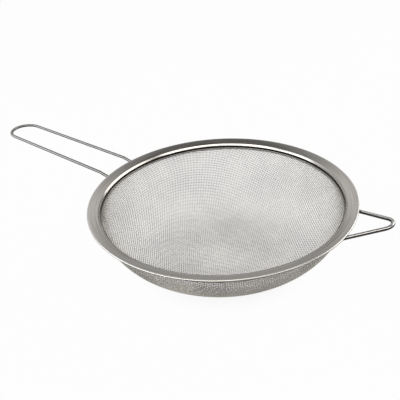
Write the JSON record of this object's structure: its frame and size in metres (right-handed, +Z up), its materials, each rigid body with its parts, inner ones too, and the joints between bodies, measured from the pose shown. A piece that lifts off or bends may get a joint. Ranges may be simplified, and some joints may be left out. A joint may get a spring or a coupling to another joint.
{
  "type": "mesh strainer",
  "caption": "Round wire-mesh strainer with a pressed steel rim, a long looped wire handle and a wire rest hook, for draining, sifting and straining food.",
  "frame": {"origin": "centre of the bowl's flat bottom, on the surface that it stands on", "axes": "+Z up along the bowl's axis, +X away from the handle, which lies along -X, so that the rest hook is on the +X side"},
  "size_m": [0.3895, 0.22, 0.0759],
  "materials": {
    "rim_steel": "polished stainless sheet with fine circular lines",
    "clamp_steel": "dull stainless strip",
    "cloth_steel": "fine woven stainless wire, slightly warm grey",
    "wire_steel": "bright drawn stainless wire",
    "weld_steel": "dull resistance weld"
  },
  "bodies": {
    "root": {"rim_flange": "rim_steel", "clamp_ring": "clamp_steel", "wire_cloth": "cloth_steel", "handle": "wire_steel", "rest_hook": "wire_steel", "weld_handle_left": "weld_steel", "weld_handle_right": "weld_steel", "weld_hook_left": "weld_steel", "weld_hook_right": "weld_steel"}
  },
  "joints": []
}
